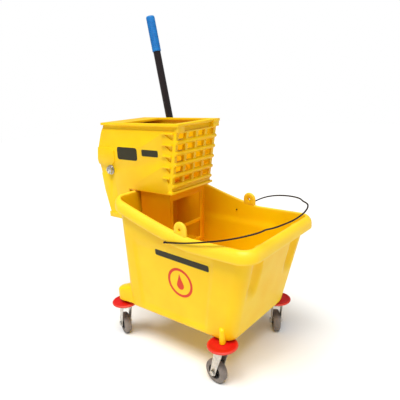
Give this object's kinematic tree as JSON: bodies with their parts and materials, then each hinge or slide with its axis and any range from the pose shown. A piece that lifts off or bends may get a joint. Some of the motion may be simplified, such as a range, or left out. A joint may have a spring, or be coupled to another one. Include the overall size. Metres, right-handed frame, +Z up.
{
  "type": "mop bucket with side-press wringer",
  "caption": "Rolling mop bucket with a swooped rim, wire bail, bumper casters and a lift-off side-press wringer worked by a lever.",
  "frame": {"origin": "middle of the object's footprint on the ground", "axes": "+X towards the pouring end of the bucket, +Y to its left, +Z up"},
  "size_m": [0.629, 0.3716, 0.9571],
  "materials": {
    "yellow_polypropylene": "glossy moulded",
    "red_bumper": "semi-gloss moulded",
    "zinc_plate": "bright zinc plated",
    "black_enamel": "gloss enamel",
    "bail_enamel": "enamelled wire",
    "black_plastic": "moulded",
    "blue_vinyl": "dipped vinyl",
    "grey_rubber": "moulded rubber"
  },
  "bodies": {
    "bucket": {"bucket": "yellow_polypropylene", "front_right_bumper": "red_bumper", "front_right_stem": "zinc_plate", "front_left_bumper": "red_bumper", "front_left_stem": "zinc_plate", "rear_right_bumper": "red_bumper", "rear_right_stem": "zinc_plate", "rear_left_bumper": "red_bumper", "rear_left_stem": "zinc_plate"},
    "bail": {"bail_wire": "bail_enamel"},
    "wringer": {"right_side_panel": "yellow_polypropylene", "left_side_panel": "yellow_polypropylene", "mouth_flange": "yellow_polypropylene", "front_grate": "yellow_polypropylene", "rear_cover": "yellow_polypropylene", "hopper": "yellow_polypropylene", "tie_rod": "zinc_plate", "tie_rod_screws": "zinc_plate", "right_bush": "black_plastic", "left_bush": "black_plastic", "press_plate_pin": "zinc_plate"},
    "press_plate": {"press_plate": "yellow_polypropylene"},
    "lever": {"cross_shaft": "zinc_plate", "right_crank": "zinc_plate", "left_crank": "zinc_plate", "push_bar": "zinc_plate", "return_spring": "zinc_plate", "shaft_washer": "zinc_plate", "shaft_nut": "zinc_plate", "lever_arm": "black_enamel", "lever_tube": "black_enamel", "lever_grip": "blue_vinyl", "lever_cap": "blue_vinyl", "lever_bolts": "zinc_plate"},
    "front_right_swivel": {"front_right_fork": "zinc_plate", "front_right_axle": "zinc_plate"},
    "front_right_wheel": {"front_right_hub": "black_plastic", "front_right_tyre": "grey_rubber"},
    "front_left_swivel": {"front_left_fork": "zinc_plate", "front_left_axle": "zinc_plate"},
    "front_left_wheel": {"front_left_hub": "black_plastic", "front_left_tyre": "grey_rubber"},
    "rear_right_swivel": {"rear_right_fork": "zinc_plate", "rear_right_axle": "zinc_plate"},
    "rear_right_wheel": {"rear_right_hub": "black_plastic", "rear_right_tyre": "grey_rubber"},
    "rear_left_swivel": {"rear_left_fork": "zinc_plate", "rear_left_axle": "zinc_plate"},
    "rear_left_wheel": {"rear_left_hub": "black_plastic", "rear_left_tyre": "grey_rubber"}
  },
  "joints": [
    {"name": "wringer_lift", "type": "slide", "parent": "bucket", "child": "wringer", "axis": [0, 0, 1], "range_m": [0, 0.3]},
    {"name": "lever_swing", "type": "hinge", "parent": "wringer", "child": "lever", "pos_m": [-0.259, 0, 0.519], "axis": [0, 1, 0], "range_deg": [0, 55], "stiffness_Nm_per_rad": 1.2, "springref_deg": -28.65},
    {"name": "press_swing", "type": "hinge", "parent": "wringer", "child": "press_plate", "pos_m": [-0.095, 0, 0.487], "axis": [0, 1, 0], "range_deg": [0, 36]},
    {"name": "bail_swing", "type": "hinge", "parent": "bucket", "child": "bail", "pos_m": [0.026, 0, 0.375], "axis": [0, -1, 0], "range_deg": [0, 70]},
    {"name": "front_right_swivel_turn", "type": "hinge", "parent": "bucket", "child": "front_right_swivel", "pos_m": [0.169, -0.141, 0.1], "axis": [0, 0, 1], "continuous": true},
    {"name": "front_right_wheel_spin", "type": "hinge", "parent": "front_right_swivel", "child": "front_right_wheel", "pos_m": [0.14424, -0.13752, 0.0325], "axis": [-0.1392, -0.9903, 0], "continuous": true},
    {"name": "front_left_swivel_turn", "type": "hinge", "parent": "bucket", "child": "front_left_swivel", "pos_m": [0.169, 0.141, 0.1], "axis": [0, 0, 1], "continuous": true},
    {"name": "front_left_wheel_spin", "type": "hinge", "parent": "front_left_swivel", "child": "front_left_wheel", "pos_m": [0.15361, 0.1607, 0.0325], "axis": [-0.788, -0.6157, 0], "continuous": true},
    {"name": "rear_right_swivel_turn", "type": "hinge", "parent": "bucket", "child": "rear_right_swivel", "pos_m": [-0.21, -0.123, 0.1], "axis": [0, 0, 1], "continuous": true},
    {"name": "rear_right_wheel_spin", "type": "hinge", "parent": "rear_right_swivel", "child": "rear_right_wheel", "pos_m": [-0.23266, -0.11243, 0.0325], "axis": [-0.4226, -0.9063, 0], "continuous": true},
    {"name": "rear_left_swivel_turn", "type": "hinge", "parent": "bucket", "child": "rear_left_swivel", "pos_m": [-0.21, 0.123, 0.1], "axis": [0, 0, 1], "continuous": true},
    {"name": "rear_left_wheel_spin", "type": "hinge", "parent": "rear_left_swivel", "child": "rear_left_wheel", "pos_m": [-0.22997, 0.13805, 0.0325], "axis": [-0.6018, -0.7986, 0], "continuous": true}
  ],
  "couplings": [
    {"joint": "press_swing", "follows": "lever_swing", "ratio": 0.65}
  ]
}
